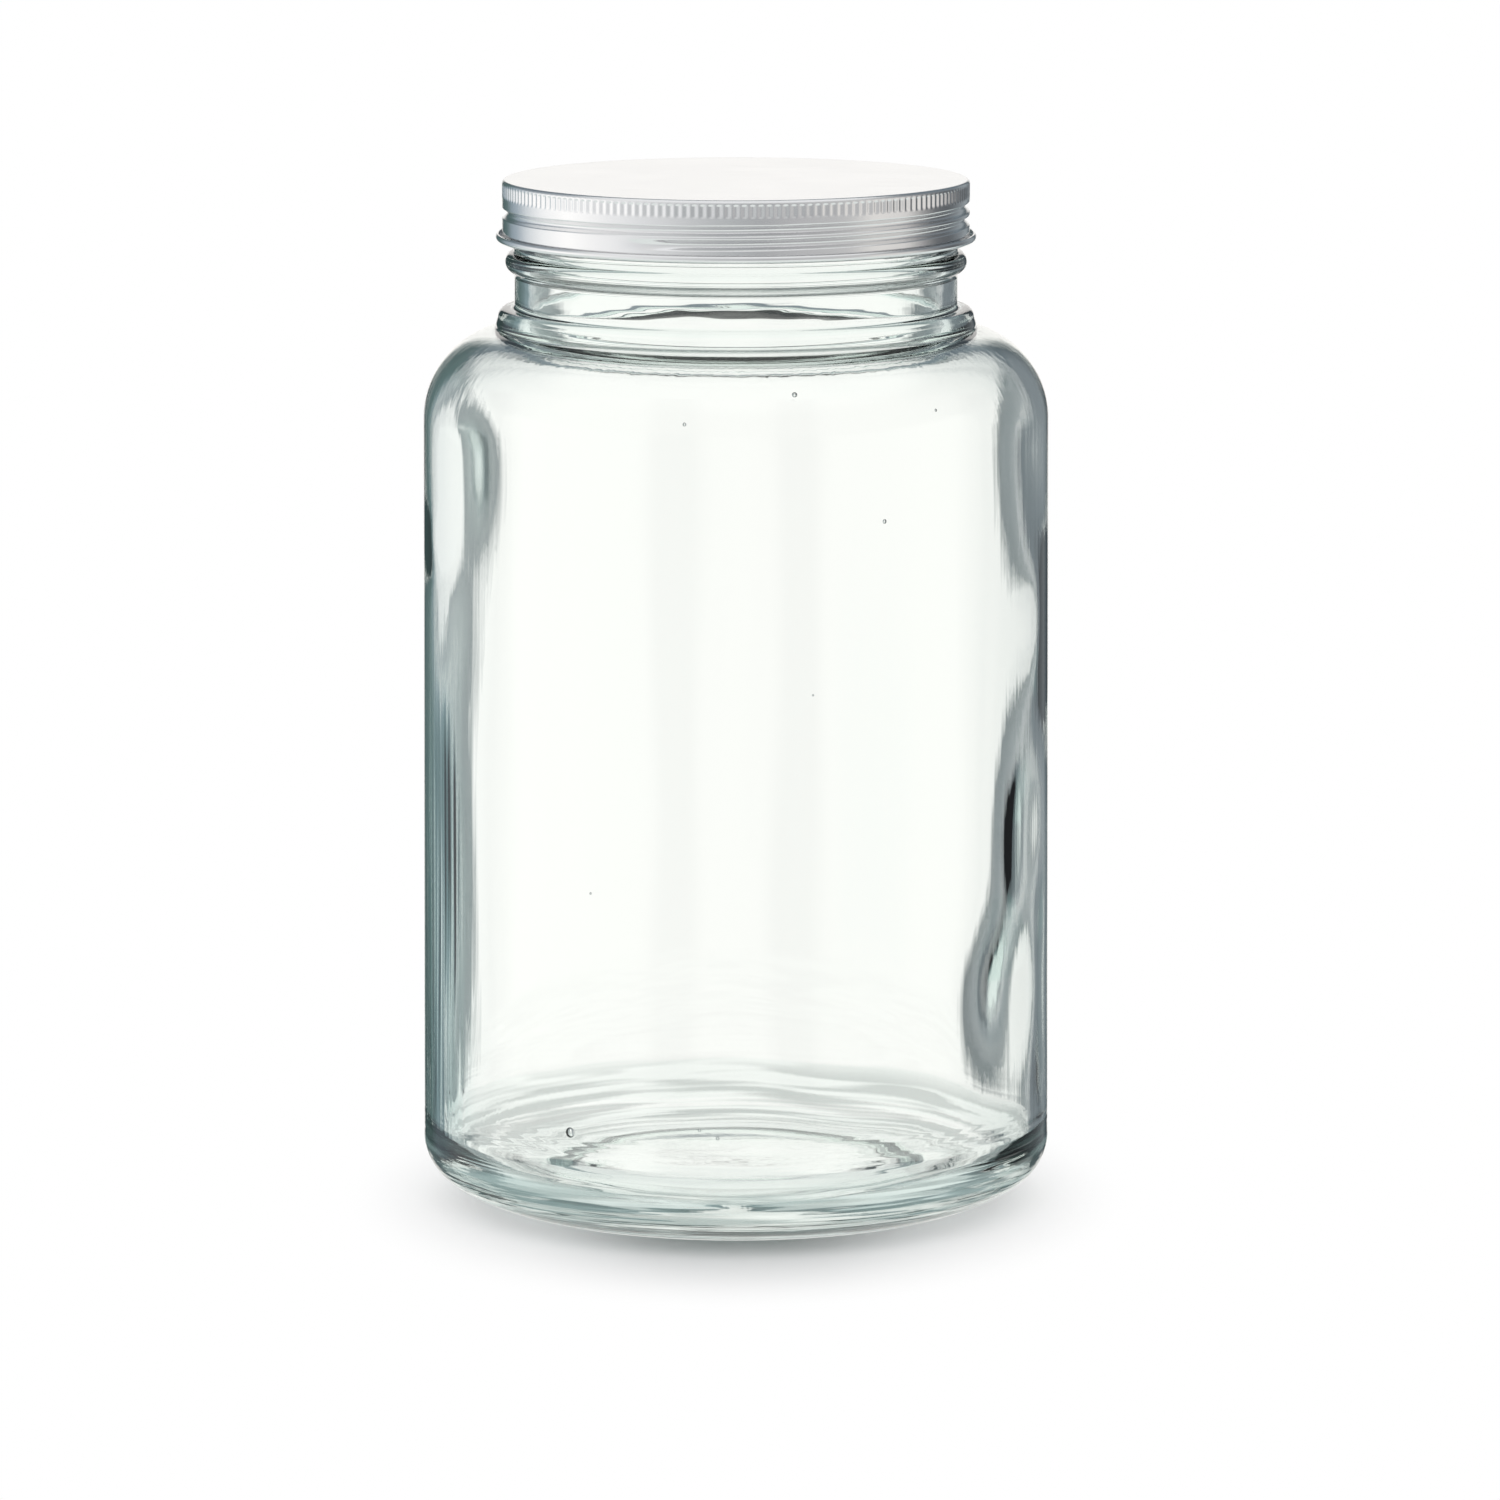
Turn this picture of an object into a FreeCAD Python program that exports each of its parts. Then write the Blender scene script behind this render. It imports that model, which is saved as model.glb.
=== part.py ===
"""Glass storage jar with an aluminium screw lid, in millimetres.

The jar stands on the XY plane with its axis on +Z and its origin at the centre of its foot.
Two pieces: the hollow glass jar and the lid of thin rolled sheet that lies on its rim.
"""

import FreeCAD, Part
import Sketcher
import math
import os

SIZES = {
    # the whole jar
    "overall_height": 278.0,
    "body_diameter": 170.0,
    "body_taper": 0.8,
    # foot and heel
    "heel_reach": 28.3,
    "heel_height": 17.6,
    "heel_radius": 12.9,
    "foot_width": 6.0,
    "punt_rise": 3.0,
    "punt_slope": 10.0,
    # neck, measured down from the top of the lid
    "shoulder_drop": 64.4,
    "neck_rise": 40.0,
    "neck_diameter": 119.2,
    "neck_fillet": 0.8,
    "collar_projection": 5.0,
    "collar_height": 5.4,
    "collar_foot": 1.2,
    "collar_lip": 0.7,
    "collar_round": 2.5,
    "collar_flare": 0.5,
    "carry_bead_drop": 5.7,
    "carry_bead_half": 2.8,
    "carry_bead_depth": 2.5,
    # glass thickness
    "body_wall": 4.6,
    "neck_wall": 4.3,
    "base_thickness": 8.0,
    "floor_rise": 1.6,
    "floor_slope": 24.0,
    "inner_heel_radius": 16.0,
    "throat_round": 5.0,
    "rim_round": 1.5,
    # lid
    "lid_height": 16.5,
    "lid_sheet": 0.35,
    "lid_gap": 2.85,
    "lid_corner": 1.2,
    "curl_radius": 1.05,
    "curl_end": 110.0,
    # rolled thread in the lid
    "thread_pitch": 3.65,
    "thread_turns": 1.44,
    "thread_rise": 4.4,
    "thread_radius": 1.4,
    "thread_depth": 1.3,
    "thread_start": 240.0,
    "thread_cap": 0.7,
    # finger grip around the top of the lid
    "flute_count": 180,
    "flute_length": 3.8,
    "flute_drop": 0.9,
    "flute_width": 1.5,
    "flute_depth": 0.2,
}


class Size:
    """A length with its value and the spreadsheet expression that gives it."""

    def __init__(self, value, text):
        self.value, self.text = float(value), text

    @staticmethod
    def of(other):
        return other if isinstance(other, Size) else Size(other, repr(float(other)))

    def __add__(self, other):
        other = Size.of(other)
        return Size(self.value + other.value, f"({self.text} + {other.text})")

    def __sub__(self, other):
        other = Size.of(other)
        return Size(self.value - other.value, f"({self.text} - {other.text})")

    def __mul__(self, other):
        other = Size.of(other)
        return Size(self.value * other.value, f"({self.text} * {other.text})")

    def __truediv__(self, other):
        other = Size.of(other)
        return Size(self.value / other.value, f"({self.text} / {other.text})")

    def root(self):
        return Size(math.sqrt(self.value), f"sqrt({self.text})")

    def cos(self):
        return Size(math.cos(math.radians(self.value)), f"cos({self.text} * 1 deg)")

    def sin(self):
        return Size(math.sin(math.radians(self.value)), f"sin({self.text} * 1 deg)")


doc = FreeCAD.newDocument("storage_jar")
sheet = doc.addObject("Spreadsheet::Sheet", "dims")
for row, (alias, number) in enumerate(SIZES.items(), 1):
    sheet.set(f"A{row}", alias)
    sheet.set(f"B{row}", str(number))
    sheet.setAlias(f"B{row}", alias)
doc.recompute()


def size(alias):
    return Size(sheet.get(alias), f"dims.{alias}")


def new_body(label):
    body = doc.addObject("PartDesign::Body", label)
    body.Label = label
    body.Placement = FreeCAD.Placement()
    return body


def new_sketch(body, name, turned=None):
    """A sketch on the body's own XZ plane, turned about the Z axis by an angle in degrees."""
    plane = next(f for f in body.Origin.OriginFeatures if f.Role == "XZ_Plane")
    sketch = body.newObject("Sketcher::SketchObject", name)
    sketch.AttachmentSupport = [(plane, "")]
    sketch.MapMode = "FlatFace"
    if turned is not None:
        sketch.AttachmentOffset = FreeCAD.Placement(
            FreeCAD.Vector(), FreeCAD.Rotation(FreeCAD.Vector(0, 1, 0), turned.value)
        )
        sketch.setExpression("AttachmentOffset.Rotation.Angle", turned.text)
    return sketch


def pin(sketch, geometry, end, x, y):
    """Hold a point of the sketch at (x, y) from its origin by named sizes."""
    if x.value == 0:
        sketch.addConstraint(Sketcher.Constraint("PointOnObject", geometry, end, -2))
    else:
        at = sketch.addConstraint(Sketcher.Constraint("DistanceX", -1, 1, geometry, end, x.value))
        sketch.setExpression(f"Constraints[{at}]", x.text)
    if y.value == 0:
        sketch.addConstraint(Sketcher.Constraint("PointOnObject", geometry, end, -1))
    else:
        at = sketch.addConstraint(Sketcher.Constraint("DistanceY", -1, 1, geometry, end, y.value))
        sketch.setExpression(f"Constraints[{at}]", y.text)


def draw_outline(sketch, corners):
    """Close a profile through corners (x, y, radius): radius belongs to the edge that leaves
    the corner, None for a line, and bends to the left of its way if positive."""
    ends = []
    for n, (x, y, bend, left) in enumerate(corners):
        x2, y2 = corners[(n + 1) % len(corners)][:2]
        a = FreeCAD.Vector(x.value, y.value, 0)
        b = FreeCAD.Vector(x2.value, y2.value, 0)
        if bend is None:
            geometry = sketch.addGeometry(Part.LineSegment(a, b), False)
            ends.append((geometry, 1, 2))
            continue
        half = (b - a).Length / 2
        away = math.sqrt(bend.value**2 - half**2) if bend.value > half else 0.0
        side = FreeCAD.Vector(-(b - a).y, (b - a).x, 0).normalize()
        centre = (a + b) * 0.5 + side * (away if left else -away)
        first, last = (a, b) if left else (b, a)
        angle = [math.atan2((p - centre).y, (p - centre).x) for p in (first, last)]
        circle = Part.Circle(centre, FreeCAD.Vector(0, 0, 1), bend.value)
        geometry = sketch.addGeometry(Part.ArcOfCircle(circle, angle[0], angle[1]), False)
        ends.append((geometry, 1, 2) if left else (geometry, 2, 1))
    for n, (geometry, start, end) in enumerate(ends):
        after, first, _ = ends[(n + 1) % len(ends)]
        sketch.addConstraint(Sketcher.Constraint("Coincident", geometry, end, after, first))
    for (x, y, bend, left), (geometry, start, end) in zip(corners, ends):
        pin(sketch, geometry, start, x, y)
        if bend is not None:
            at = sketch.addConstraint(Sketcher.Constraint("Radius", geometry, bend.value))
            sketch.setExpression(f"Constraints[{at}]", bend.text)


def line(x, y):
    return (Size.of(x), Size.of(y), None, True)


def arc_left(x, y, radius):
    """The edge that leaves this corner has its centre on the left of its way."""
    return (Size.of(x), Size.of(y), radius, True)


def arc_right(x, y, radius):
    return (Size.of(x), Size.of(y), radius, False)


def turn(body, sketch, name):
    feature = body.newObject("PartDesign::Revolution", name)
    feature.Profile = sketch
    feature.ReferenceAxis = (sketch, ["V_Axis"])
    feature.Angle = 360.0
    return feature


def dome_radius(width, rise):
    return (width * width + rise * rise) / (rise * 2)


# heights and radii that the two pieces share
top = size("overall_height")
body_r = size("body_diameter") / 2
body_top_r = body_r - size("body_taper")
neck_r = size("neck_diameter") / 2
rim_z = top - size("lid_sheet")
lid_base_z = top - size("lid_height")

# ---------------------------------------------------------------- the glass jar
jar = new_body("jar")
profile = new_sketch(jar, "jar_profile")

# the heel is two arcs that meet in one tangent: a broad one that rises from the foot, a tight
# one that turns up into the wall
foot_r = body_r - size("heel_reach")
punt_r = foot_r - size("foot_width") - size("punt_slope")
reach, rise, tight = size("heel_reach"), size("heel_height"), size("heel_radius")
broad = (reach * reach + rise * rise - reach * tight * 2) / ((rise - tight) * 2)
share = broad / (broad - tight)
heel_x = foot_r + (body_r - tight - foot_r) * share
heel_z = broad + (rise - broad) * share

collar_r = neck_r + size("collar_projection")
crease_r = collar_r - size("collar_lip")
shoulder_z = top - size("shoulder_drop")
crease_z = top - size("neck_rise")
shoulder_r = dome_radius(crease_z - shoulder_z, body_top_r - crease_r)
collar_top = crease_z + size("collar_height")
collar_edge = collar_r - size("collar_flare")
bead_z = lid_base_z - size("carry_bead_drop")
bead_half, bead_depth = size("carry_bead_half"), size("carry_bead_depth")
mouth_r = neck_r - size("neck_wall")
wall = size("body_wall")
throat, lip = size("throat_round"), size("rim_round")
floor_z, inner_heel = size("base_thickness"), size("inner_heel_radius")
floor_r = body_r - wall - inner_heel
collar_under = dome_radius(size("collar_foot"), size("collar_lip"))

# inside, the shoulder runs into the throat in one tangent: the two arcs' centres lie this far apart
under_r = shoulder_r - wall
apart = mouth_r + throat - (body_top_r - shoulder_r)
lift = ((under_r + throat) * (under_r + throat) - apart * apart).root()
inner_share = under_r / (under_r + throat)
throat_x = body_top_r - shoulder_r + apart * inner_share
throat_z = shoulder_z + lift * inner_share

draw_outline(
    profile,
    [
        line(0, size("punt_rise")),
        arc_right(punt_r, size("punt_rise"), dome_radius(size("punt_slope"), size("punt_rise"))),
        line(punt_r + size("punt_slope"), 0),
        arc_left(foot_r, 0, broad),
        arc_left(heel_x, heel_z, tight),
        line(body_r, rise),
        arc_left(body_top_r, shoulder_z, shoulder_r),
        arc_left(crease_r, crease_z, collar_under),
        line(collar_r, crease_z + size("collar_foot")),
        arc_left(collar_edge, collar_top - size("collar_round"), size("collar_round")),
        line(collar_edge - size("collar_round"), collar_top),
        arc_right(neck_r + size("neck_fillet"), collar_top, size("neck_fillet")),
        line(neck_r, collar_top + size("neck_fillet")),
        arc_left(neck_r, bead_z - bead_half, dome_radius(bead_half, bead_depth)),
        line(neck_r, bead_z + bead_half),
        arc_left(neck_r, rim_z - lip, lip),
        line(neck_r - lip, rim_z),
        arc_left(mouth_r + lip, rim_z, lip),
        line(mouth_r, rim_z - lip),
        arc_left(mouth_r, shoulder_z + lift, throat),
        arc_right(throat_x, throat_z, under_r),
        line(body_top_r - wall, shoulder_z),
        arc_right(body_r - wall, floor_z + inner_heel, inner_heel),
        line(floor_r, floor_z),
        line(floor_r - size("floor_slope"), floor_z + size("floor_rise")),
        line(0, floor_z + size("floor_rise")),
    ],
)
doc.recompute()
turn(jar, profile, "jar_turned")
doc.recompute()

# ---------------------------------------------------------------- the lid
lid = new_body("lid")
sheet_t = size("lid_sheet")
skirt_in = neck_r + size("lid_gap")
skirt_r = skirt_in + sheet_t
corner = size("lid_corner")
curl = size("curl_radius")
hollow = curl - sheet_t
curl_x, curl_z = skirt_in + curl, lid_base_z + curl
end_x, end_z = size("curl_end").cos(), size("curl_end").sin()

section = new_sketch(lid, "lid_profile")
draw_outline(
    section,
    [
        line(0, rim_z),
        arc_right(skirt_r - corner, rim_z, corner - sheet_t),
        line(skirt_in, top - corner),
        # the hem curls outwards and up until it stops just short of the skirt
        arc_left(skirt_in, curl_z, curl),
        arc_left(curl_x, lid_base_z, curl),
        arc_left(curl_x + curl, curl_z, curl),
        line(curl_x + curl * end_x, curl_z + curl * end_z),
        arc_right(curl_x + hollow * end_x, curl_z + hollow * end_z, hollow),
        arc_right(curl_x + hollow, curl_z, hollow),
        arc_right(curl_x, curl_z - hollow, hollow),
        line(skirt_r, curl_z),
        arc_left(skirt_r, top - corner, corner),
        line(skirt_r - corner, top),
        line(0, top),
    ],
)
doc.recompute()
turn(lid, section, "lid_turned")
doc.recompute()

# the rolled thread: a ridge is laid round the inside of the skirt and hollowed from outside, so
# that the sheet keeps its thickness; the ridge starts earlier and ends later, which shuts its ends
pitch, turns, roll = size("thread_pitch"), size("thread_turns"), size("thread_radius")
thread_x = skirt_r + roll - size("thread_depth")
thread_z = lid_base_z + size("thread_rise")
cap = size("thread_cap")


def wind(kind, name, start, z, count, outline):
    groove = new_sketch(lid, name + "_profile", start)
    draw_outline(groove, outline(z))
    doc.recompute()
    feature = lid.newObject("PartDesign::" + kind, name)
    feature.Profile = groove
    feature.ReferenceAxis = (groove, ["V_Axis"])
    feature.Mode = 1
    feature.setExpression("Pitch", pitch.text)
    feature.setExpression("Turns", count.text)
    feature.LeftHanded = False
    doc.recompute()
    return feature


def ridge_outline(z):
    edge = skirt_r - sheet_t / 2
    outer = roll + sheet_t
    half = (outer * outer - (thread_x - edge) * (thread_x - edge)).root()
    return [
        arc_left(edge, z + half, outer),
        arc_left(thread_x - outer, z, outer),
        line(edge, z - half),
    ]


def hollow_outline(z):
    return [
        arc_left(thread_x, z + roll, roll),
        arc_left(thread_x - roll, z, roll),
        arc_left(thread_x, z - roll, roll),
        arc_left(thread_x + roll, z, roll),
    ]


wind(
    "AdditiveHelix",
    "thread_ridge",
    size("thread_start") - cap,
    thread_z - pitch * cap / 360,
    turns + cap / 180,
    ridge_outline,
)
wind("SubtractiveHelix", "thread_hollow", size("thread_start"), thread_z, turns, hollow_outline)

# the finger grip: short upright flutes pressed into the skirt all the way round
flute = lid.newObject("Sketcher::SketchObject", "flute_profile")
level = next(f for f in lid.Origin.OriginFeatures if f.Role == "XY_Plane")
flute.AttachmentSupport = [(level, "")]
flute.MapMode = "FlatFace"
flute_low = top - size("flute_drop") - size("flute_length")
flute.AttachmentOffset = FreeCAD.Placement(FreeCAD.Vector(0, 0, flute_low.value), FreeCAD.Rotation())
flute.setExpression("AttachmentOffset.Base.z", flute_low.text)
bore = dome_radius(size("flute_width") / 2, size("flute_depth"))
ring = flute.addGeometry(
    Part.Circle(
        FreeCAD.Vector((skirt_r + bore - size("flute_depth")).value, 0, 0),
        FreeCAD.Vector(0, 0, 1),
        bore.value,
    ),
    False,
)
pin(flute, ring, 3, skirt_r + bore - size("flute_depth"), Size.of(0))
at = flute.addConstraint(Sketcher.Constraint("Radius", ring, bore.value))
flute.setExpression(f"Constraints[{at}]", bore.text)
doc.recompute()
pressed = lid.newObject("PartDesign::Pocket", "flute")
pressed.Profile = flute
pressed.Reversed = True
pressed.setExpression("Length", size("flute_length").text)
doc.recompute()
round_lid = lid.newObject("PartDesign::PolarPattern", "flutes")
round_lid.Originals = [pressed]
round_lid.Axis = (next(f for f in lid.Origin.OriginFeatures if f.Role == "Z_Axis"), [""])
round_lid.Angle = 360.0
round_lid.setExpression("Occurrences", size("flute_count").text)
lid.Tip = round_lid

# ---------------------------------------------------------------- checks and files
doc.recompute()
for thing in doc.Objects:
    if "Invalid" in thing.State or "Error" in thing.State:
        raise RuntimeError(f"{thing.Label} did not recompute: {thing.State}")
os.makedirs("parts", exist_ok=True)
for piece in (jar, lid):
    shape = piece.Shape
    if shape.isNull() or not shape.isValid() or len(shape.Solids) != 1:
        raise RuntimeError(f"{piece.Label} is not one valid solid")
    shape.exportStep(f"parts/{piece.Label}.step")
    box = shape.BoundBox
    print(
        f"{piece.Label}: {shape.Volume / 1000:.1f} cm3, x {box.XMin:.2f} to {box.XMax:.2f},"
        f" z {box.ZMin:.2f} to {box.ZMax:.2f}"
    )
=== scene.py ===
"""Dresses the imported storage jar: glass with a faint green tint, and a lid of rolled aluminium."""

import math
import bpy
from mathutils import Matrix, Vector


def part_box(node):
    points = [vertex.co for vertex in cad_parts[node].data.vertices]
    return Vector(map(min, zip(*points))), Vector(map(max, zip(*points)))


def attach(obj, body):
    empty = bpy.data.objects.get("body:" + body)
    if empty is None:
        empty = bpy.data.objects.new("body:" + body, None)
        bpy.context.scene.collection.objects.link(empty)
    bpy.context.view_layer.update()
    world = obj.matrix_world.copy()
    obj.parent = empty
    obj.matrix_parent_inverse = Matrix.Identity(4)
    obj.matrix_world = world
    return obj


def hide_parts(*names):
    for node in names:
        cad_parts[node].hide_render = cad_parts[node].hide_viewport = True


bl_info = {
    "name": "Glass storage jar",
    "version": (1, 0, 0),
    "blender": (4, 5, 0),
    "location": "3D View > Sidebar > Storage jar",
    "description": "Builds a clear glass storage jar with an aluminium screw lid on its packed frame",
    "category": "Add Mesh",
}

import bpy
import numpy as np

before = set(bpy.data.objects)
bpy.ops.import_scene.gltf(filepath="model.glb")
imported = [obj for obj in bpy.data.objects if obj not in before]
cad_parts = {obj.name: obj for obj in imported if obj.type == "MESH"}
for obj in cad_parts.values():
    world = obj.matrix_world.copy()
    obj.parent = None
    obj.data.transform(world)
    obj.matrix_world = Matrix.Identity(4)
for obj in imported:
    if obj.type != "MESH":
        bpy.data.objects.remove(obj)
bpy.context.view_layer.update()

MM = 0.001
LID_LOW, LID_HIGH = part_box("lid")
JAR_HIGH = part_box("jar")[1]


# ------------------------------------------------------------------ shader sums
class Wire:
    """A node socket that Python sums can use. Each sum adds the node that works it out."""

    def __init__(self, tree, socket=None):
        self.tree = tree
        self.socket = socket

    def add(self, kind, settings=None, sockets=None, out=0):
        """Adds a node of a type with its settings, then the values or wires of its sockets."""
        node = self.tree.nodes.new(kind)
        for key, value in (settings or {}).items():
            if key == "stops":
                ramp = node.color_ramp
                while len(ramp.elements) > 1:
                    ramp.elements.remove(ramp.elements[-1])
                for n, (at, colour) in enumerate(value):
                    stop = ramp.elements[0] if n == 0 else ramp.elements.new(at)
                    stop.position, stop.color = at, (*colour, 1.0)
            else:
                setattr(node, key, value)
        for key, value in (sockets or {}).items():
            if isinstance(value, Wire):
                self.tree.links.new(value.socket, node.inputs[key])
            else:
                node.inputs[key].default_value = value
        return Wire(self.tree, node.outputs[out] if node.outputs else None)

    def also(self, name):
        """Another output of the node that this wire comes from."""
        return Wire(self.tree, self.socket.node.outputs[name])

    def split(self):
        """The X, Y and Z of a vector."""
        parts = self.add("ShaderNodeSeparateXYZ", None, {0: self})
        return parts, parts.also("Y"), parts.also("Z")

    def sum(self, operation, *values):
        """A Math node on values or wires."""
        return self.add("ShaderNodeMath", {"operation": operation}, dict(enumerate(values)))

    def __add__(self, other):
        return self.sum("ADD", self, other)

    __radd__ = __add__

    def __sub__(self, other):
        return self.sum("SUBTRACT", self, other)

    def __rsub__(self, other):
        return self.sum("SUBTRACT", other, self)

    def __mul__(self, other):
        return self.sum("MULTIPLY", self, other)

    __rmul__ = __mul__

    def __truediv__(self, other):
        return self.sum("DIVIDE", self, other)

    def __rtruediv__(self, other):
        return self.sum("DIVIDE", other, self)

    def mix(self, factor, first, second):
        """One colour into another by the factor."""
        return self.add("ShaderNodeMix", {"data_type": "RGBA"}, {0: factor, 6: first, 7: second}, 2)

    def clamped(self, low, high):
        """0 below low, 1 above high, smooth between."""
        return self.add(
            "ShaderNodeMapRange",
            {"interpolation_type": "SMOOTHSTEP", "clamp": True},
            {"Value": self, "From Min": low, "From Max": high},
        )


def new_material(name):
    """An empty node material, with the wire that starts its sums."""
    material = bpy.data.materials.new(name)
    material.use_nodes = True
    material.node_tree.nodes.clear()
    return material, Wire(material.node_tree)


# ------------------------------------------------------------------ shapes
def arc(start, end, radius, left, steps):
    """Points on an arc from start to end, whose centre lies on the left or right of the way."""
    a, b = np.array(start, float), np.array(end, float)
    chord = b - a
    half = np.hypot(*chord) / 2
    away = math.sqrt(max(radius * radius - half * half, 0.0))
    side = np.array([-chord[1], chord[0]]) / (2 * half)
    centre = (a + b) / 2 + side * (away if left else -away)
    first = math.atan2(*(a - centre)[::-1])
    last = math.atan2(*(b - centre)[::-1])
    if left and last < first:
        last += 2 * math.pi
    if not left and last > first:
        last -= 2 * math.pi
    angle = np.linspace(first, last, steps + 1)
    return np.c_[centre[0] + radius * np.cos(angle), centre[1] + radius * np.sin(angle)]


def run(start, end, steps):
    """Points on a straight line from start to end."""
    return np.linspace(start, end, steps + 1)


def joined(*parts):
    """One path from parts that each start where the last one ends."""
    return np.vstack([parts[0]] + [p[1:] for p in parts[1:]])


def dome(width, rise):
    """Radius of an arc by how far its top lies above its end, and how far beside it."""
    return (width * width + rise * rise) / (2 * rise)


def lathe(path, around, bend):
    """Turns a path of (r, z) about Z. bend(r, z, angle) returns the moved r and z grids."""
    angle = (np.arange(around) + 0.5) * 2 * math.pi / around
    r = np.repeat(path[:, :1], around, 1)
    z = np.repeat(path[:, 1:], around, 1)
    r, z = bend(r, z, np.repeat(angle[None], len(path), 0))
    points = np.stack([r * np.cos(angle), r * np.sin(angle), z], -1)
    first_pole, last_pole = path[0, 0] == 0, path[-1, 0] == 0
    rings = points[1 if first_pole else 0 : -1 if last_pole else None]
    verts = rings.reshape(-1, 3).tolist()
    count = len(rings)
    faces = []
    for k in range(count - 1):
        for j in range(around):
            n = (j + 1) % around
            low, high = k * around, (k + 1) * around
            faces.append((low + j, low + n, high + n, high + j))
    if first_pole:
        verts.append(points[0].mean(0).tolist())
        faces += [(len(verts) - 1, (j + 1) % around, j) for j in range(around)]
    if last_pole:
        verts.append(points[-1].mean(0).tolist())
        start = (count - 1) * around
        faces += [(len(verts) - 1, start + j, start + (j + 1) % around) for j in range(around)]
    return verts, faces


def make_piece(name, verts, faces, material, node):
    """A smooth mesh piece on the root body, in the place of a node of the frame."""
    mesh = bpy.data.meshes.new(name)
    mesh.from_pydata(verts, [], faces)
    mesh.update()
    mesh.shade_smooth()
    piece = bpy.data.objects.new(name, mesh)
    bpy.context.scene.collection.objects.link(piece)
    mesh.materials.append(material)
    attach(piece, "root")
    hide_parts(node)


# ------------------------------------------------------------------ settings
class JarSettings(bpy.types.PropertyGroup):
    """Sizes and colours of the glass."""

    heel_reach: bpy.props.FloatProperty(
        name="Heel reach", description="How far the foot lies in from the side of the jar",
        default=28.3 * MM, unit="LENGTH", precision=4)
    heel_height: bpy.props.FloatProperty(
        name="Heel height", description="Height at which the heel runs into the wall",
        default=17.6 * MM, unit="LENGTH", precision=4)
    heel_radius: bpy.props.FloatProperty(
        name="Heel radius", description="Radius of the upper part of the heel",
        default=12.9 * MM, unit="LENGTH", precision=4)
    body_taper: bpy.props.FloatProperty(
        name="Body taper",
        description="How much narrower the wall is at the shoulder than at the heel",
        default=0.8 * MM, unit="LENGTH", precision=4)
    wall: bpy.props.FloatProperty(
        name="Wall", description="Thickness of the glass in the wall of the body",
        default=4.6 * MM, unit="LENGTH", precision=4)
    unevenness: bpy.props.FloatProperty(
        name="Unevenness", description="How far the inside of the wall wanders",
        default=1.0 * MM, unit="LENGTH", precision=4)
    chill: bpy.props.FloatProperty(
        name="Chill marks", description="Height of the ripples round the heel",
        default=0.19 * MM, unit="LENGTH", precision=6)
    drawn: bpy.props.FloatProperty(
        name="Drawn lines", description="Height of the fine upright lines in the wall",
        default=0.012 * MM, unit="LENGTH", precision=6)
    tint: bpy.props.FloatVectorProperty(
        name="Tint", description="Colour that light takes on inside the glass",
        subtype="COLOR", size=3, min=0.0, max=1.0, default=(0.66, 0.93, 0.80))
    depth: bpy.props.FloatProperty(
        name="Tint strength", description="How much of the other colours a metre of glass takes up",
        default=12.0, min=0.0)
    # Painted shade: colour of the darker teal-green painted on the left flank of the wall, where its
    # edge looks dark from the front.
    cast: bpy.props.FloatVectorProperty(
        name="Cast", description="Colour of the thick strands low in the wall",
        subtype="COLOR", size=3, min=0.0, max=1.0, default=(0.78, 0.89, 0.88))
    strands: bpy.props.FloatVectorProperty(
        name="Strands", description="Colour of the light that the chill marks round the heel scatter",
        subtype="COLOR", size=3, min=0.0, max=1.0, default=(0.345, 0.495, 0.48))
    haze: bpy.props.FloatProperty(
        name="Haze", description="How much of the light the chill marks round the heel scatter",
        default=0.36, min=0.0, max=1.0, subtype="FACTOR")


class LidSettings(bpy.types.PropertyGroup):
    """Sizes and colours of the lid."""

    flutes: bpy.props.IntProperty(
        name="Flutes", description="How many flutes the finger grip has", default=180, min=3)
    flute_depth: bpy.props.FloatProperty(
        name="Flute depth", description="Depth of the flutes", default=0.28 * MM,
        unit="LENGTH", precision=5)
    groove_depth: bpy.props.FloatProperty(
        name="Groove depth", description="Depth of the rolled thread", default=1.3 * MM,
        unit="LENGTH", precision=4)
    pitch: bpy.props.FloatProperty(
        name="Pitch", description="Rise of the rolled thread in one turn", default=3.65 * MM,
        unit="LENGTH", precision=4)
    metal: bpy.props.FloatVectorProperty(
        name="Metal", description="Colour of the bare aluminium", subtype="COLOR", size=3,
        min=0.0, max=1.0, default=(0.85, 0.85, 0.855))
    grain: bpy.props.FloatProperty(
        name="Grain", description="Height of the rolled grain in the metal", default=0.012 * MM,
        unit="LENGTH", precision=6)
    roughness: bpy.props.FloatProperty(
        name="Roughness", description="Roughness of the satin metal", default=0.17, min=0.0, max=1.0,
        subtype="FACTOR")


class StageSettings(bpy.types.PropertyGroup):
    """The camera."""

    distance: bpy.props.FloatProperty(
        name="Distance", description="From the camera to the axis of the jar", default=2.354,
        unit="LENGTH")
    height: bpy.props.FloatProperty(
        name="Height", description="Height of the camera above the floor", default=0.5001,
        unit="LENGTH")
    pitch: bpy.props.FloatProperty(
        name="Pitch", description="How far the camera looks down", default=math.radians(8.703),
        subtype="ANGLE", unit="ROTATION")
    lens: bpy.props.FloatProperty(
        name="Lens", description="Focal length on a 36 mm film", default=211.03, unit="CAMERA")
    right: bpy.props.FloatProperty(
        name="Shift right",
        description="How far the frame is moved to the right, in widths of the frame",
        default=14 / 1500, precision=5)
    up: bpy.props.FloatProperty(
        name="Shift up", description="How far the frame is moved up, in widths of the frame",
        default=-62.7 / 1500, precision=5)


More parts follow.
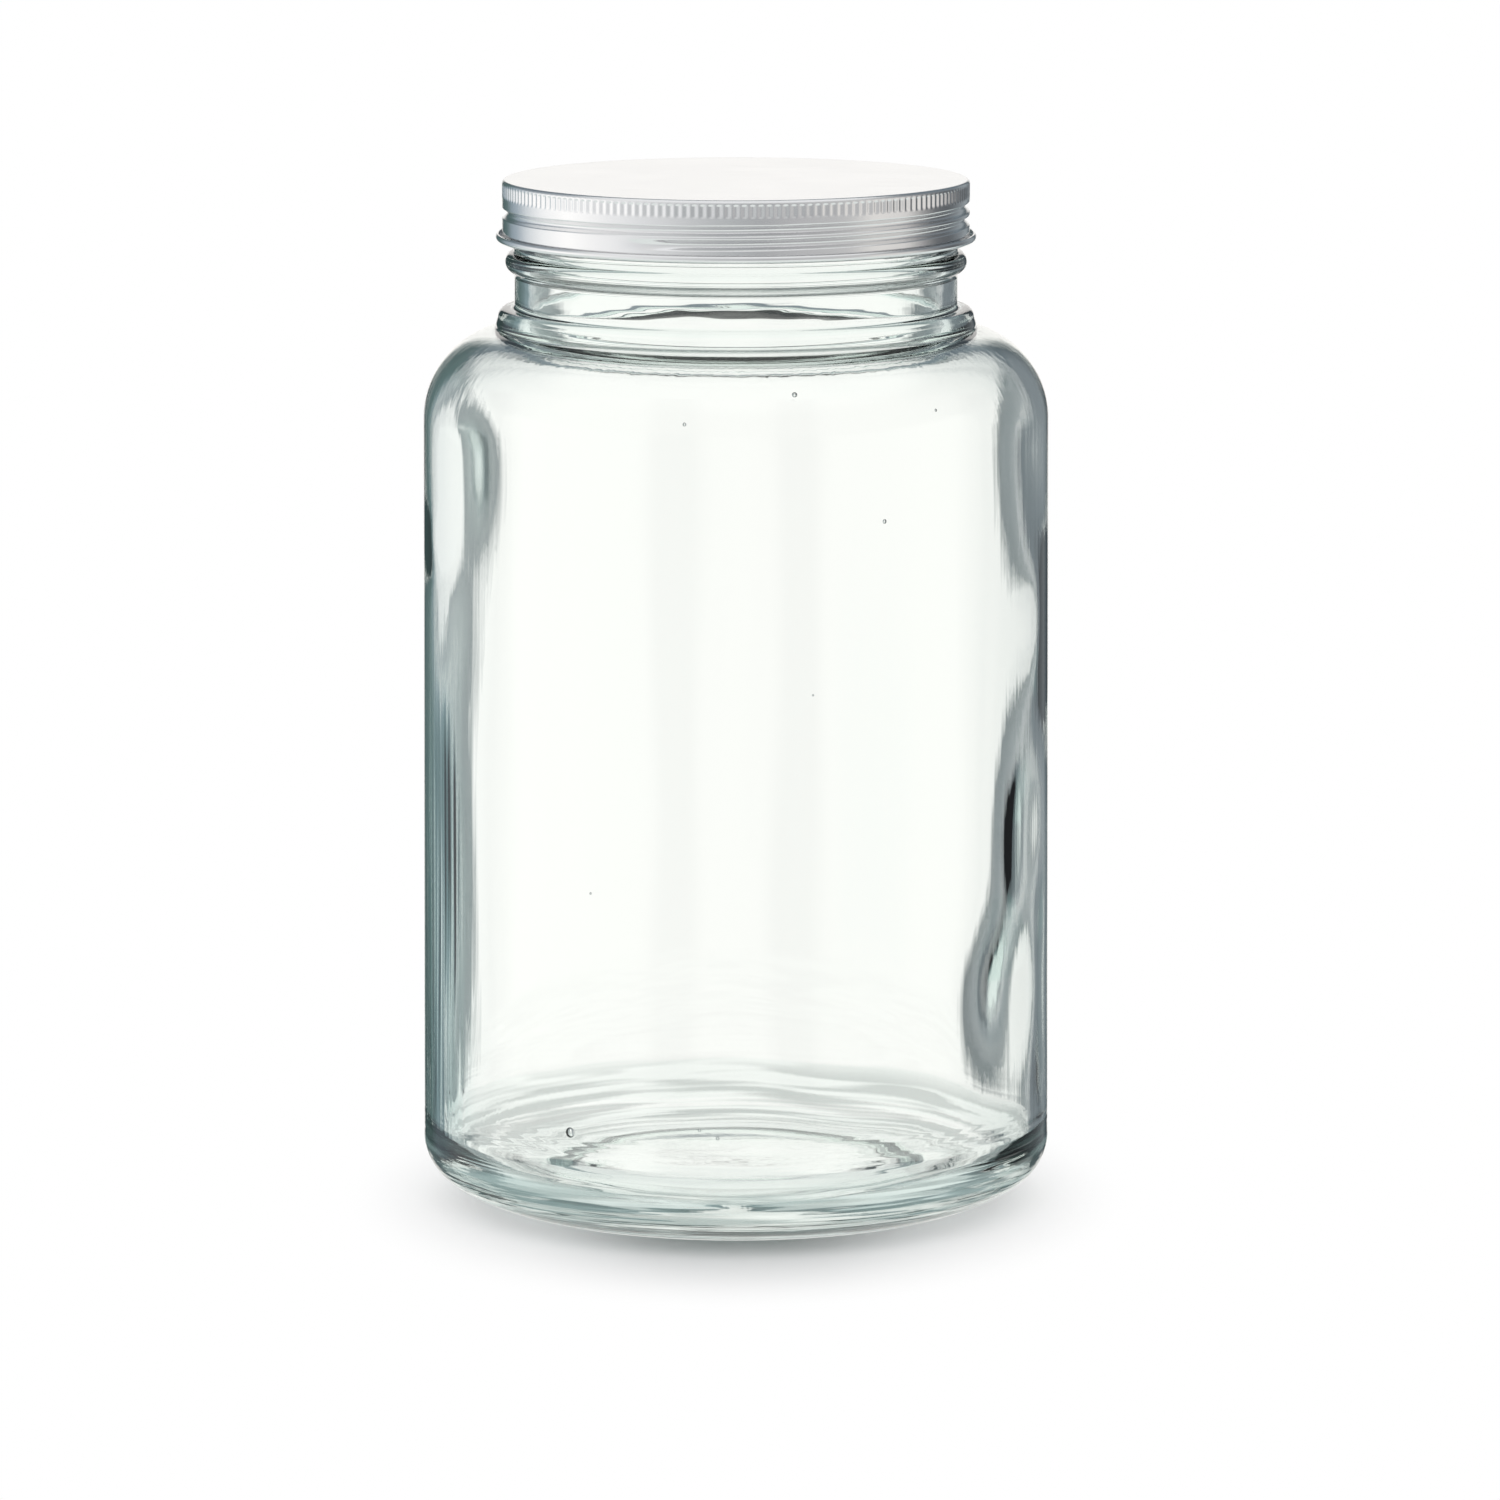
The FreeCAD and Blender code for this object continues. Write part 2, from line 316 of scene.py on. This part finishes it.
# ------------------------------------------------------------------ glass
def glass_path(s):
    """Outline of half the jar from the middle of its underside, round the rim, to its inner floor."""
    body_r, rim_z, top = JAR_HIGH.x, JAR_HIGH.z, LID_HIGH.z
    top_r = body_r - s.body_taper

    # foot and heel: a broad arc up from the foot runs into a tight one that ends in the wall
    foot_r = body_r - s.heel_reach
    foot_width, punt_rise, punt_slope = 6 * MM, 3 * MM, 10 * MM
    ring_r = foot_r - foot_width
    punt_r = ring_r - punt_slope
    reach, rise, tight = s.heel_reach, s.heel_height, s.heel_radius
    broad = (reach * reach + rise * rise - 2 * reach * tight) / (2 * (rise - tight))
    share = broad / (broad - tight)
    heel = (foot_r + (body_r - tight - foot_r) * share, broad + (rise - broad) * share)

    # shoulder and collar, with heights measured down from the top of the lid
    shoulder_z, crease_z, collar_top = top - 64.4 * MM, top - 40.0 * MM, top - 34.6 * MM
    crease_r, collar_r, collar_edge = 63.9 * MM, 64.6 * MM, 64.1 * MM
    shoulder_r = dome(crease_z - shoulder_z, top_r - crease_r)
    collar_foot, collar_round = 1.2 * MM, 2.5 * MM
    collar_side = collar_edge - collar_round, collar_top - collar_round

    # neck, carrying bead and rim
    neck_r, fillet, lip = 59.6 * MM, 0.8 * MM, 1.5 * MM
    bead_z, bead_half, bead_depth = LID_LOW.z - 5.7 * MM, 2.8 * MM, 2.5 * MM
    bead_low, bead_high = bead_z - bead_half, bead_z + bead_half
    mouth_r = neck_r - 4.3 * MM

    # inside, the shoulder runs into the throat in one tangent
    throat, under_r = 8 * MM, shoulder_r - s.wall
    apart = mouth_r + throat - (top_r - shoulder_r)
    lift = math.sqrt((under_r + throat) ** 2 - apart**2)
    share_in = under_r / (under_r + throat)
    meet = (top_r - shoulder_r + apart * share_in, shoulder_z + lift * share_in)

    # inner floor, which rises a little to a flat middle
    floor_z, inner_heel, floor_slope, floor_rise = 8 * MM, 16 * MM, 24 * MM, 1.6 * MM
    inner_r = body_r - s.wall
    floor_r = inner_r - inner_heel
    middle_r, middle_z = floor_r - floor_slope, floor_z + floor_rise

    outside = joined(
        run((0, punt_rise), (punt_r, punt_rise), 10),
        arc((punt_r, punt_rise), (ring_r, 0), dome(punt_slope, punt_rise), False, 8),
        run((ring_r, 0), (foot_r, 0), 3),
        arc((foot_r, 0), heel, broad, True, 14),
        arc(heel, (body_r, rise), tight, True, 14),
        run((body_r, rise), (top_r, shoulder_z), 12),
        arc((top_r, shoulder_z), (crease_r, crease_z), shoulder_r, True, 30),
        arc((crease_r, crease_z), (collar_r, crease_z + collar_foot),
            dome(collar_foot, collar_r - crease_r), True, 6),
        run((collar_r, crease_z + collar_foot), (collar_edge, collar_side[1]), 4),
        arc((collar_edge, collar_side[1]), (collar_side[0], collar_top), collar_round, True, 8),
        run((collar_side[0], collar_top), (neck_r + fillet, collar_top), 1),
        arc((neck_r + fillet, collar_top), (neck_r, collar_top + fillet), fillet, False, 4),
        run((neck_r, collar_top + fillet), (neck_r, bead_low), 6),
        arc((neck_r, bead_low), (neck_r, bead_high), dome(bead_half, bead_depth), True, 12),
        run((neck_r, bead_high), (neck_r, rim_z - lip), 8),
        arc((neck_r, rim_z - lip), (neck_r - lip, rim_z), lip, True, 5),
    )
    inside = joined(
        run((neck_r - lip, rim_z), (mouth_r + lip, rim_z), 2),
        arc((mouth_r + lip, rim_z), (mouth_r, rim_z - lip), lip, True, 5),
        run((mouth_r, rim_z - lip), (mouth_r, shoulder_z + lift), 16),
        arc((mouth_r, shoulder_z + lift), meet, throat, True, 14),
        arc(meet, (top_r - s.wall, shoulder_z), under_r, False, 22),
        run((top_r - s.wall, shoulder_z), (inner_r, floor_z + inner_heel), 60),
        arc((inner_r, floor_z + inner_heel), (floor_r, floor_z), inner_heel, False, 20),
        run((floor_r, floor_z), (middle_r, middle_z), 10),
        run((middle_r, middle_z), (0, middle_z), 10),
    )
    return outside, inside


def hill(x, middle, spread):
    """A smooth bump of height 1."""
    return np.exp(-(((x - middle) / spread) ** 2))


def ramp(x, low, high):
    """0 below low, 1 above high, straight between. It falls instead where low is above high."""
    return np.clip((x - low) / (high - low), 0, 1)


# where the wall is thicker or thinner: (turn from the front in degrees, right positive;
# height in mm; spread in degrees; spread up and down in mm; how much thicker in mm)
SWELLS = (
    (62, 64, 11, 19, 2.0), (69, 104, 9, 22, 1.0), (84, 66, 9, 34, 1.3),
    (77, 160, 9, 15, -1.3), (70, 207, 10, 18, 0.4), (-62, 205, 10, 22, 1.5),
    (-76, 182, 6, 7, -0.8), (-67, 160, 8, 22, 0.5), (-72, 90, 9, 50, 0.3),
)
# slow waves all round the wall: (how much thicker in mm; waves in a turn; phase; lean in
# radians a metre)
WAVES = ((0.16, 3, 1.9, 31), (0.10, 7, -0.4, -23), (0.05, 13, 2.0, 47))


def waves(angle, z, scale):
    """How much thicker the wall is at an angle and height than its even thickness."""
    front = np.degrees((angle + math.pi / 2 + math.pi) % (2 * math.pi) - math.pi)
    thick = np.zeros_like(z)
    for turn, height, wide, tall, more in SWELLS:
        thick += more * hill(front, turn, wide) * hill(z, height * MM, tall * MM)
    for more, count, phase, lean in WAVES:
        thick += more * np.sin(count * angle + phase + lean * z)
    return scale * thick * ramp(z, 226 * MM, 212 * MM) * ramp(z, 12 * MM, 32 * MM)


# hollows and humps of the inner floor: (right of and behind the axis in mm; spread each way
# in mm; rise in mm)
PONDS = (
    (-10, 36, 13, 8, 0.35), (4, -10, 40, 20, -0.12), (44, 10, 14, 20, 0.35),
    (-42, 2, 12, 20, 0.35), (0, -42, 46, 9, 0.35), (-12, 56, 30, 9, -0.3),
)
# slow waves of the inner floor: (rise in mm; radians a metre to the right and to the back)
RIPPLES = ((0.05, 90, 160), (0.03, -60, 230))


def ponds(x, y, scale):
    """How much higher the inner floor lies at a place than its even height."""
    rise = np.zeros_like(x)
    for right, back, wide, deep, more in PONDS:
        rise += more * hill(x, right * MM, wide * MM) * hill(y, back * MM, deep * MM)
    for more, across, along in RIPPLES:
        rise += more * np.sin(across * x + along * y)
    return scale * rise


def glass_material(s):
    """Clear glass with ripples round heel and neck, drawn lines in the wall, and a painted shade of
    teal-green on the left flank.
    """
    glass, wire = new_material("clear_soda_glass")
    x, y, z = wire.add("ShaderNodeTexCoord", None, None, "Object").split()
    reach = wire.sum("SQRT", x * x + y * y)
    turn = wire.sum("ARCTAN2", x, 0 - y)

    def grain(across, up, detail):
        """Noise from 0 to 1, across the wall by a scale and up it by a sum."""
        at = wire.add("ShaderNodeCombineXYZ", None, {0: x * across, 1: y * across, 2: up})
        return wire.add("ShaderNodeTexNoise", None, {"Vector": at, "Scale": 1.0, "Detail": detail})

    # the heel's outer face: it lies under a cone inside the glass, or beyond the inner wall
    heel_top, foot_r, cone_r, inner_r = 34 * MM, 57 * MM, 56.5 * MM, 80.9 * MM
    under = ((reach - cone_r) * 0.6 - z).clamped(-0.4 * MM, 0.4 * MM)
    outer = (under + (reach - inner_r).clamped(0.0, 1 * MM)).clamped(0.2, 0.8)
    heel = (heel_top - z).clamped(0.0, 12 * MM) * (reach - foot_r).clamped(0.0, 6 * MM) * outer
    neck_low, neck_high = 240 * MM, 262 * MM
    neck = (z - neck_low).clamped(0.0, 3 * MM) * (neck_high - z).clamped(0.0, 4 * MM)
    # the left flank, 1.1 to 1.8 radians round from the front and up to past mid-height
    flank = (0 - turn).clamped(0.98, 1.14) * (turn + 2.0).clamped(0.0, 0.3)
    flank = flank * z.clamped(14 * MM, 34 * MM) * (175 * MM - z).clamped(0.0, 90 * MM)

    chill = grain(26.0, (z + reach) * 420.0, 1.0) * heel
    crinkle = grain(48.0, z * 230.0, 1.0) * neck
    drawn = grain(420.0, z * 14.0, 1.0) * (1 - heel)
    cords = grain(560.0, z * 11.0, 0.0) * flank
    # streaks in the painted shade on the left flank
    flank_shade_streaks = grain(300.0, z * 9.0, 2.0).clamped(0.36, 0.52)
    streak = grain(22.0, (z + reach) * 300.0, 1.0).clamped(0.40, 0.62) * heel
    low = (24 * MM - z).clamped(0.0, 9 * MM)

    height = chill * s.chill + crinkle * (0.4 * s.chill) + drawn * s.drawn
    height = height + cords * (s.drawn * 4)
    # painted shade: a darker teal-green share of the Base Color on the left flank, standing in for
    # the dark edge band seen there
    green = flank * (0.25 + 0.75 * flank_shade_streaks)
    clear = wire.add("ShaderNodeBsdfPrincipled", None, {
        "Base Color": wire.mix(green, (1.0, 1.0, 1.0, 1.0), (*s.cast, 1.0)),
        "Roughness": 0.0,
        "IOR": 1.52,
        "Transmission Weight": 1.0,
        "Normal": wire.add("ShaderNodeBump", None, {
            "Strength": 1.0, "Distance": 1.0, "Height": height,
        }),
    })
    haze = wire.add("ShaderNodeBsdfPrincipled", None, {
        "Base Color": (*s.strands, 1.0),
        "Roughness": 0.5,
    })
    share = streak * low * s.haze
    wire.add("ShaderNodeOutputMaterial", None, {
        "Surface": wire.add("ShaderNodeMixShader", None, {0: share, 1: clear, 2: haze}),
        "Volume": wire.add("ShaderNodeVolumeAbsorption", None, {
            "Color": (*s.tint, 1.0), "Density": s.depth,
        }),
    })
    return glass


# air seeds in the glass: (turn from the front in degrees, right positive; distance from the
# axis, height and half length in mm)
SEEDS = (
    (11.4, 76.5, 227.9, 0.75), (-9.5, 80.5, 221.0, 0.5), (40.7, 79.0, 222.1, 0.4),
    (27.9, 82.3, 194.9, 0.6), (-27.3, 82.6, 96.2, 0.35), (-31.7, 82.6, 31.4, 1.4),
    (-71.6, 82.6, 33.9, 0.4), (-66.0, 82.6, 34.8, 0.45), (-60.3, 82.6, 36.6, 0.4),
    (-6.6, 82.6, 34.4, 0.45), (-3.3, 82.6, 32.3, 0.5), (14.0, 82.6, 150.0, 0.3),
)


def add_bubble(verts, faces, centre, half, turn):
    """Adds a small egg of air, flat from front to back. Its faces are turned into the air."""
    start = len(verts)
    rows, cols = 8, 14
    wide, deep = 0.95 * half, 0.4 * half
    for k in range(1, rows):
        up = math.pi * k / rows
        for j in range(cols):
            side = 2 * math.pi * j / cols
            a, b, c = (
                wide * math.sin(up) * math.cos(side),
                deep * math.sin(up) * math.sin(side),
                half * math.cos(up),
            )
            verts.append((
                centre[0] + a * math.cos(turn) - b * math.sin(turn),
                centre[1] + a * math.sin(turn) + b * math.cos(turn),
                centre[2] + c,
            ))
    verts.append((centre[0], centre[1], centre[2] + half))
    verts.append((centre[0], centre[1], centre[2] - half))
    top, low = len(verts) - 2, len(verts) - 1
    for j in range(cols):
        n = (j + 1) % cols
        faces.append((top, start + n, start + j))
        faces.append((low, start + (rows - 2) * cols + j, start + (rows - 2) * cols + n))
        for k in range(rows - 2):
            a = start + k * cols
            faces.append((a + j, a + n, a + cols + n, a + cols + j))


class STORAGEJAR_OT_glass(bpy.types.Operator):
    """Blow the glass jar, with its uneven inside"""

    bl_idname = "storage_jar.glass"
    bl_label = "Glass jar"

    def execute(self, context):
        s = context.scene.storage_jar_glass
        outside, inside = glass_path(s)
        path = joined(outside, inside)
        inner = np.arange(len(path))[:, None] >= len(outside)
        base_top, around = 30 * MM, 288

        def bend(r, z, angle):
            base = inner & (z < base_top)
            rise = ponds(r * np.cos(angle), r * np.sin(angle), s.unevenness)
            thicker = waves(angle, z, s.unevenness)
            return r - np.where(inner, thicker, 0), z + np.where(base, rise, 0)

        verts, faces = lathe(path, around, bend)
        for turn, reach, height, size in SEEDS:
            at = math.radians(turn)
            centre = reach * MM * math.sin(at), -reach * MM * math.cos(at), height * MM
            add_bubble(verts, faces, centre, size * MM, at)
        make_piece("glass_jar", verts, faces, glass_material(s), "jar")
        return {"FINISHED"}


# ------------------------------------------------------------------ lid
def lid_material(s):
    """Satin metal with the fine grain of rolled sheet."""
    metal, wire = new_material("satin_aluminium")
    x, y, z = wire.add("ShaderNodeTexCoord", None, None, "Object").split()

    def grain(along, across, detail):
        """Noise from 0 to 1, by a scale along the rolled grain and one across it."""
        at = wire.add("ShaderNodeCombineXYZ", None, {0: x * along, 1: y * across, 2: z * across})
        return wire.add("ShaderNodeTexNoise", None, {"Vector": at, "Scale": 1.0, "Detail": detail})

    rolled, specks = grain(60.0, 1100.0, 1.0), grain(1500.0, 1500.0, 0.0)
    cloud = grain(45.0, 45.0, 2.0).clamped(0.3, 0.7)
    height = rolled * s.grain + specks * (0.6 * s.grain)
    dull = tuple(0.96 * c for c in s.metal)
    wire.add("ShaderNodeOutputMaterial", None, {
        "Surface": wire.add("ShaderNodeBsdfPrincipled", None, {
            "Base Color": wire.mix(cloud, (*dull, 1.0), (*s.metal, 1.0)),
            "Metallic": 1.0,
            "Roughness": s.roughness - 0.03 + 0.06 * rolled,
            "Normal": wire.add("ShaderNodeBump", None, {
                "Strength": 1.0, "Distance": 1.0, "Height": height,
            }),
        }),
    })
    return metal


class STORAGEJAR_OT_lid(bpy.types.Operator):
    """Roll the lid, with its flutes, thread and curled hem"""

    bl_idname = "storage_jar.lid"
    bl_label = "Aluminium lid"

    def execute(self, context):
        s = context.scene.storage_jar_lid
        top, low = LID_HIGH.z, LID_LOW.z
        sheet, corner, curl, skirt = 0.35 * MM, 1.2 * MM, 1.05 * MM, 62.8 * MM
        curl_x, curl_z, hollow = skirt - sheet + curl, low + curl, curl - sheet
        # the hem curls down, out and up again, round to this far from its start
        curled = 2 * math.pi - math.radians(110)

        def hem(radius, angles):
            return [(curl_x - radius * math.cos(t), curl_z - radius * math.sin(t)) for t in angles]

        outer = joined(
            run((0, top), (skirt - 2 * corner, top), 3),
            run((skirt - 2 * corner, top), (skirt - corner, top), 2),
            arc((skirt - corner, top), (skirt, top - corner), corner, False, 6),
            run((skirt, top - corner), (skirt, curl_z), 66),
        )
        hem_in = hem(hollow, np.linspace(0, curled, 10))
        hem_out = hem(curl, np.linspace(curled, 0, 13))
        inner = joined(
            run((skirt - sheet, curl_z), (skirt - sheet, top - corner), 26),
            arc((skirt - sheet, top - corner), (skirt - corner, top - sheet),
                corner - sheet, True, 4),
            run((skirt - corner, top - sheet), (0, top - sheet), 3),
        )
        path = np.vstack([outer, hem_in[1:], hem_out, inner[1:]])[::-1]
        # the rolled thread starts at this angle and height, and runs in and out over part of a turn
        begin, start_z = math.radians(240), low + 4.4 * MM
        turns, run_in, half_groove = 1.44, 0.06, 1.45 * MM
        flute_low, flute_high, flute_end = top - 4.7 * MM, top - 0.9 * MM, 0.7 * MM
        flat_top = top - 0.4 * MM

        def bend(r, z, angle):
            side = (r > skirt - corner) & (z < flat_top) & (z > curl_z)
            depth = np.zeros_like(r)
            for lap in (-1, 0, 1):
                along = (angle - begin) / (2 * math.pi) + 1 + lap
                middle = start_z + s.pitch * along
                fade = ramp(along, 0, run_in) * ramp(along, turns, turns - run_in)
                fade = fade * fade * (3 - 2 * fade)
                depth += s.groove_depth * fade * np.clip(1 - ((z - middle) / half_groove) ** 2, 0, 1)
            ends = ramp(z, flute_low, flute_low + flute_end)
            ends = ends * ramp(z, flute_high, flute_high - flute_end)
            # flat at the bottom of each flute and on the rib beside it, with a slope between
            wave = np.clip(np.cos(angle * s.flutes) * 0.9 + 0.45, 0, 1)
            depth += s.flute_depth * np.sqrt(ends) * wave
            return r - np.where(side, depth, 0), z

        points_a_flute = 4
        verts, faces = lathe(path, s.flutes * points_a_flute, bend)
        make_piece("screw_lid", verts, faces, lid_material(s), "lid")
        return {"FINISHED"}


# ------------------------------------------------------------------ stage
# The surroundings that glass and metal see, by direction. Each ring lists (turn from straight
# ahead in degrees, right positive; red, green, blue).
# what the lid and the faces of the glass mirror: a white wall ahead with dark screens beside it
HORIZON = (
    (-180, 0.50, 0.52, 0.53), (-150, 0.70, 0.71, 0.72), (-130, 0.86, 0.87, 0.88),
    (-110, 1.05, 1.05, 1.05), (-88, 1.22, 1.21, 1.19), (-70, 1.05, 1.06, 1.06),
    (-54, 0.72, 0.77, 0.80), (-44, 0.40, 0.47, 0.53), (-35, 0.30, 0.37, 0.42),
    (-27, 0.11, 0.17, 0.17), (-17, 0.08, 0.13, 0.13), (-10.2, 0.05, 0.08, 0.09),
    (-9.5, 1.07, 1.055, 1.03), (9.5, 1.07, 1.055, 1.03), (10.2, 0.05, 0.07, 0.08),
    (16, 0.12, 0.15, 0.17), (22, 0.34, 0.38, 0.40), (32, 0.26, 0.29, 0.31),
    (50, 0.12, 0.13, 0.14), (64, 0.15, 0.16, 0.17), (74, 0.34, 0.34, 0.34),
    (88, 0.78, 0.76, 0.74), (108, 0.86, 0.84, 0.81), (122, 0.60, 0.60, 0.60),
    (150, 0.53, 0.53, 0.54), (168, 0.45, 0.46, 0.47), (180, 0.50, 0.52, 0.53),
)
# what shows through the glass: the same wall and screens ahead, and a pale room with grey strips
THROUGH = (
    (-180, 0.97, 0.97, 0.96), (-168, 0.97, 0.97, 0.96), (-161, 0.50, 0.53, 0.53),
    (-150, 0.50, 0.53, 0.53), (-143, 0.96, 0.97, 0.96), (-81, 0.96, 0.97, 0.96),
    (-73, 0.58, 0.62, 0.62), (-62, 0.58, 0.64, 0.64), (-55, 0.90, 0.93, 0.92),
    (-41, 0.88, 0.92, 0.91), (-34, 0.22, 0.30, 0.32), (-25, 0.11, 0.17, 0.17),
    (-17, 0.13, 0.18, 0.18), (-10.2, 0.10, 0.13, 0.14), (-9.5, 1.04, 1.025, 1.0),
    (9.5, 1.04, 1.025, 1.0), (10.2, 0.09, 0.11, 0.12), (17, 0.14, 0.17, 0.19),
    (24, 0.20, 0.23, 0.25), (34, 0.22, 0.25, 0.27), (41, 0.88, 0.90, 0.90),
    (55, 0.90, 0.92, 0.92), (62, 0.48, 0.51, 0.52), (73, 0.48, 0.51, 0.52),
    (81, 0.96, 0.97, 0.96), (143, 0.96, 0.97, 0.96), (150, 0.50, 0.53, 0.53),
    (161, 0.50, 0.53, 0.53), (168, 0.97, 0.97, 0.96), (180, 0.97, 0.97, 0.96),
)
# below eye level, where glass looks down on the table
BELOW = (
    (-180, 0.88, 0.92, 0.90), (-55, 0.80, 0.86, 0.84), (-38, 0.74, 0.81, 0.80),
    (-31, 0.24, 0.32, 0.33), (-19, 0.18, 0.24, 0.25), (-16, 0.98, 0.99, 0.96),
    (16, 0.98, 0.99, 0.96), (19, 0.18, 0.23, 0.24), (31, 0.22, 0.29, 0.30),
    (38, 0.74, 0.81, 0.80), (55, 0.80, 0.86, 0.84), (180, 0.88, 0.92, 0.90),
)
# the upper walls, darkest straight ahead
ABOVE = (
    (-180, 0.62, 0.63, 0.64), (-100, 0.95, 0.95, 0.95), (-60, 0.42, 0.46, 0.50),
    (-25, 0.16, 0.20, 0.23), (25, 0.16, 0.20, 0.23), (60, 0.22, 0.24, 0.26),
    (100, 0.60, 0.60, 0.60), (180, 0.62, 0.63, 0.64),
)
CEILING = (0.92, 0.93, 0.94, 1.0)
WHITE = (1, 1, 1, 1)


def stage_world(scene):
    """White to the camera and to matt surfaces, and the rings above to glass and metal."""
    world = bpy.data.worlds.new("studio")
    scene.world = world
    world.use_nodes = True
    world.node_tree.nodes.clear()
    wire = Wire(world.node_tree)
    ray = wire.add("ShaderNodeLightPath")
    x, y, z = wire.add("ShaderNodeTexCoord", None, None, "Generated").split()
    around = wire.sum("ARCTAN2", x, y) / (2 * math.pi) + 0.5

    def ring(tones):
        stops = [(turn / 360 + 0.5, tone) for turn, *tone in tones]
        return wire.add("ShaderNodeValToRGB", {"stops": stops}, {"Fac": around})

    # z is the sine of the elevation
    level = wire.mix(ray.also("Is Transmission Ray"), ring(HORIZON), ring(THROUGH))
    upper = wire.mix(z.clamped(0.24, 0.34), level, ring(ABOVE))
    over = wire.mix(z.clamped(0.68, 0.84), upper, CEILING)
    seen = wire.mix((0 - z).clamped(0.235, 0.27), over, ring(BELOW))
    lit = wire.add("ShaderNodeBackground", None, {"Color": seen})
    white = wire.add("ShaderNodeBackground", None, {"Color": WHITE})
    diffuse, camera = ray.also("Is Diffuse Ray"), ray.also("Is Camera Ray")
    studio = wire.add("ShaderNodeMixShader", None, {0: diffuse, 1: lit, 2: white})
    wire.add("ShaderNodeOutputWorld", None, {
        "Surface": wire.add("ShaderNodeMixShader", None, {0: camera, 1: studio, 2: white}),
    })


def floor_material():
    """Matt near the jar, where its shadow lies, and plain white farther off. Near the jar, a share of
    glowing white that is larger beside it than in front is painted light that lightens the shadow.
    """
    floor, wire = new_material("pale_floor")
    x, y, _ = wire.add("ShaderNodeTexCoord", None, None, "Object").split()
    away = wire.sum("SQRT", (1.8 * x) * x + y * y)
    # painted light: a share of glowing white over the shadow, 8% everywhere and up to 42% beside the
    # jar
    side_glow = wire.sum("ABSOLUTE", x).clamped(0.010, 0.060) * 0.34 + 0.08
    far = 1 - (1 - side_glow) * (1 - away.clamped(0.085, 0.145))
    matt = wire.add("ShaderNodeBsdfDiffuse", None, {"Color": (0.96, 0.96, 0.96, 1.0)})
    white = wire.add("ShaderNodeEmission", None, {"Color": WHITE, "Strength": 1.0})
    wire.add("ShaderNodeOutputMaterial", None, {
        "Surface": wire.add("ShaderNodeMixShader", None, {0: far, 1: matt, 2: white}),
    })
    return floor


class STORAGEJAR_OT_stage(bpy.types.Operator):
    """Set up the floor, the light and the camera"""

    bl_idname = "storage_jar.stage"
    bl_label = "Stage"

    def execute(self, context):
        scene = context.scene
        s = scene.storage_jar_stage
        scene.view_settings.view_transform = "Standard"
        stage_world(scene)
        mesh = bpy.data.meshes.new("floor")
        radius, corners = 4, 64
        turns = np.linspace(0, 2 * math.pi, corners, endpoint=False)
        rim = [(radius * math.cos(t), radius * math.sin(t), 0) for t in turns]
        mesh.from_pydata(rim, [], [tuple(range(corners))])
        floor = bpy.data.objects.new("floor", mesh)
        scene.collection.objects.link(floor)
        mesh.materials.append(floor_material())
        floor.visible_glossy = floor.visible_transmission = False
        camera = bpy.data.objects.new("camera", bpy.data.cameras.new("camera"))
        scene.collection.objects.link(camera)
        camera.location = (0, -s.distance, s.height)
        camera.rotation_euler = (math.pi / 2 - s.pitch, 0, 0)
        camera.data.sensor_width = 36
        camera.data.lens = s.lens
        camera.data.shift_x, camera.data.shift_y = s.right, s.up
        camera.data.clip_start = 0.05
        scene.camera = camera
        return {"FINISHED"}


class STORAGEJAR_PT_panel(bpy.types.Panel):
    """Lists the pieces of the storage jar"""

    bl_idname = "STORAGEJAR_PT_panel"
    bl_label = "Storage jar"
    bl_space_type = "VIEW_3D"
    bl_region_type = "UI"
    bl_category = "Storage jar"

    def draw(self, context):
        for operator in OPERATORS:
            self.layout.operator(operator.bl_idname)
        for group in SETTINGS:
            for key in getattr(context.scene, group).bl_rna.properties.keys():
                if key not in ("rna_type", "name"):
                    self.layout.prop(getattr(context.scene, group), key)


SETTINGS = {
    "storage_jar_glass": JarSettings,
    "storage_jar_lid": LidSettings,
    "storage_jar_stage": StageSettings,
}
OPERATORS = (STORAGEJAR_OT_stage, STORAGEJAR_OT_glass, STORAGEJAR_OT_lid)
CLASSES = (*SETTINGS.values(), *OPERATORS, STORAGEJAR_PT_panel)


def register():
    for cls in CLASSES:
        bpy.utils.register_class(cls)
    for name, group in SETTINGS.items():
        setattr(bpy.types.Scene, name, bpy.props.PointerProperty(type=group))


def unregister():
    for name in SETTINGS:
        delattr(bpy.types.Scene, name)
    for cls in reversed(CLASSES):
        bpy.utils.unregister_class(cls)


def main():
    register()
    bpy.ops.storage_jar.stage()
    bpy.ops.storage_jar.glass()
    bpy.ops.storage_jar.lid()
    bpy.context.view_layer.update()


if __name__ == "__main__":
    main()
